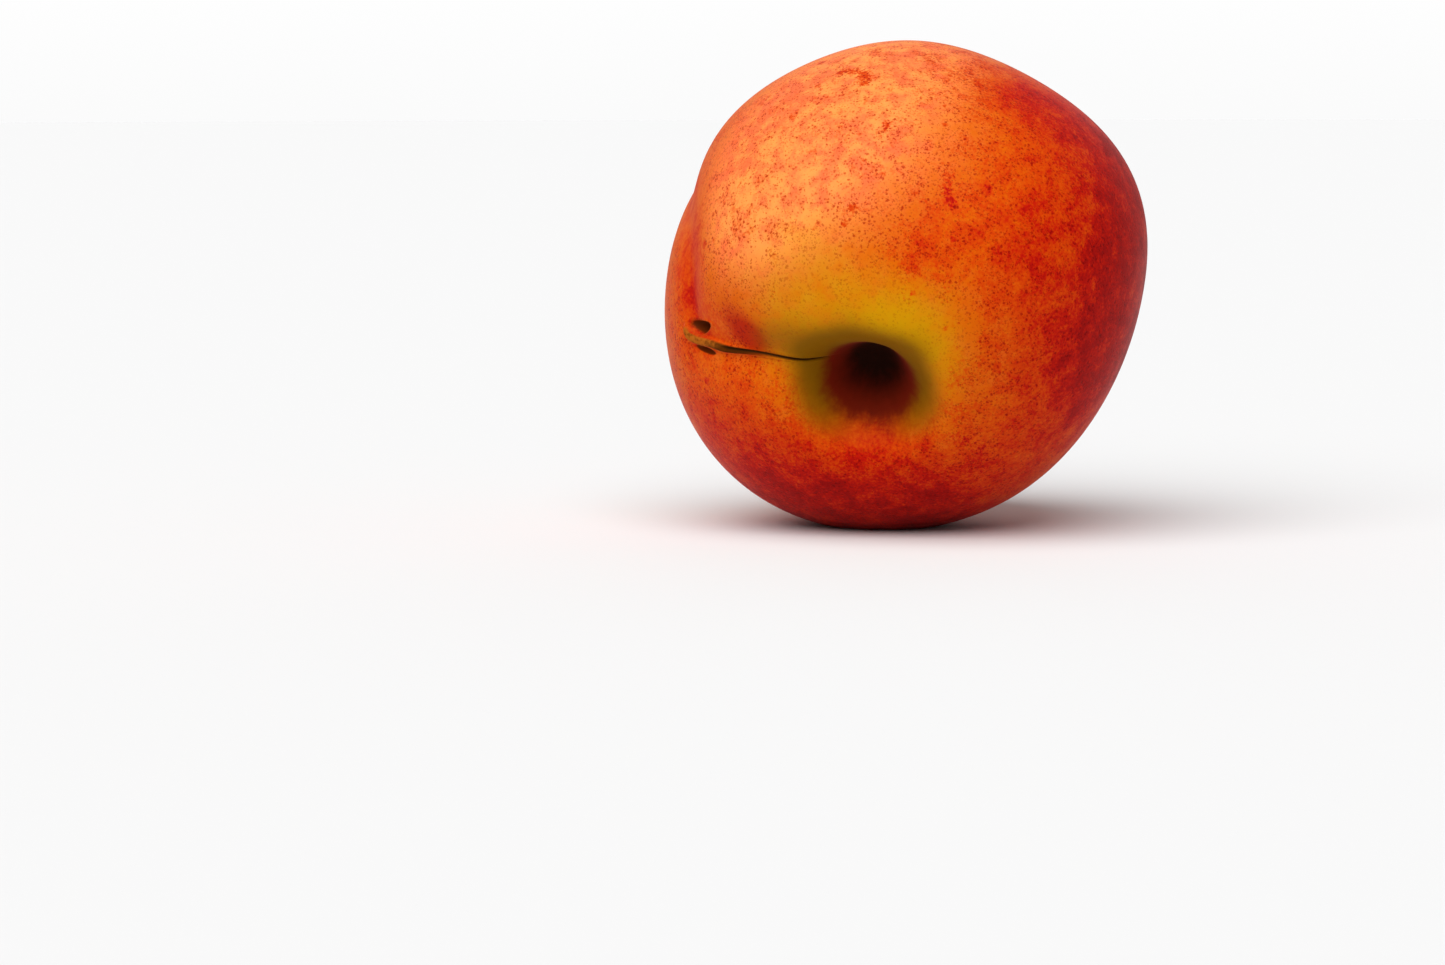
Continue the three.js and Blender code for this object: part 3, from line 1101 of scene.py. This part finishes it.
def pale_floor(radius):
    """A round floor without gloss."""
    turns = [2 * math.pi * side / FLOOR_SIDES for side in range(FLOOR_SIDES)]
    rim = [(radius * math.cos(turn), radius * math.sin(turn), 0) for turn in turns]
    mesh = bpy.data.meshes.new("pale_floor")
    mesh.from_pydata(rim, [], [list(range(FLOOR_SIDES))])
    material = bpy.data.materials.new("pale_floor")
    material.use_nodes = True
    shader = material.node_tree.nodes["Principled BSDF"]
    shader.inputs["Base Color"].default_value = FLOOR_COLOUR
    shader.inputs["Roughness"].default_value = FLOOR_ROUGHNESS
    shader.inputs["Specular IOR Level"].default_value = 0
    mesh.materials.append(material)
    return bpy.data.objects.new("pale_floor", mesh)


class NECTARINE_OT_set_stage(bpy.types.Operator):
    """Lays the pale floor and sets the soft lights and the camera"""

    bl_idname = "nectarine.set_stage"
    bl_label = "Set stage"

    def execute(self, context):
        scene = context.scene
        stage = scene.nectarine_stage

        floor = pale_floor(stage.floor_radius)
        scene.collection.objects.link(floor)

        scene.world = studio_world(stage.backdrop_level, stage.rim_level, stage.fill_level)
        soft_key(stage.key_strength)

        camera = studio_camera(Vector(scene["nectarine_centre"]))
        scene.collection.objects.link(camera)
        scene.camera = camera
        scene.view_settings.view_transform = "Standard"
        return {"FINISHED"}


class NECTARINE_PT_panel(bpy.types.Panel):
    bl_idname = "NECTARINE_PT_panel"
    bl_label = "Nectarine"
    bl_space_type = "VIEW_3D"
    bl_region_type = "UI"
    bl_category = "Nectarine"

    def draw(self, context):
        layout = self.layout
        groups = (
            (context.scene.nectarine_shape, "nectarine.grow_fruit"),
            (context.scene.nectarine_finish, None),
            (context.scene.nectarine_stage, "nectarine.set_stage"),
        )
        for group, operator in groups:
            box = layout.box()
            for name in group.bl_rna.properties.keys():
                if name not in {"rna_type", "name"}:
                    box.prop(group, name)
            if operator:
                box.operator(operator)


CLASSES = (
    NectarineShape,
    NectarineFinish,
    NectarineStage,
    NECTARINE_OT_grow_fruit,
    NECTARINE_OT_set_stage,
    NECTARINE_PT_panel,
)


def register():
    for cls in CLASSES:
        bpy.utils.register_class(cls)
    bpy.types.Scene.nectarine_shape = bpy.props.PointerProperty(type=NectarineShape)
    bpy.types.Scene.nectarine_finish = bpy.props.PointerProperty(type=NectarineFinish)
    bpy.types.Scene.nectarine_stage = bpy.props.PointerProperty(type=NectarineStage)


def unregister():
    for name in ("nectarine_shape", "nectarine_finish", "nectarine_stage"):
        delattr(bpy.types.Scene, name)
    for cls in reversed(CLASSES):
        bpy.utils.unregister_class(cls)


def main():
    register()
    bpy.ops.nectarine.grow_fruit()
    bpy.ops.nectarine.set_stage()


if __name__ == "__main__":
    main()
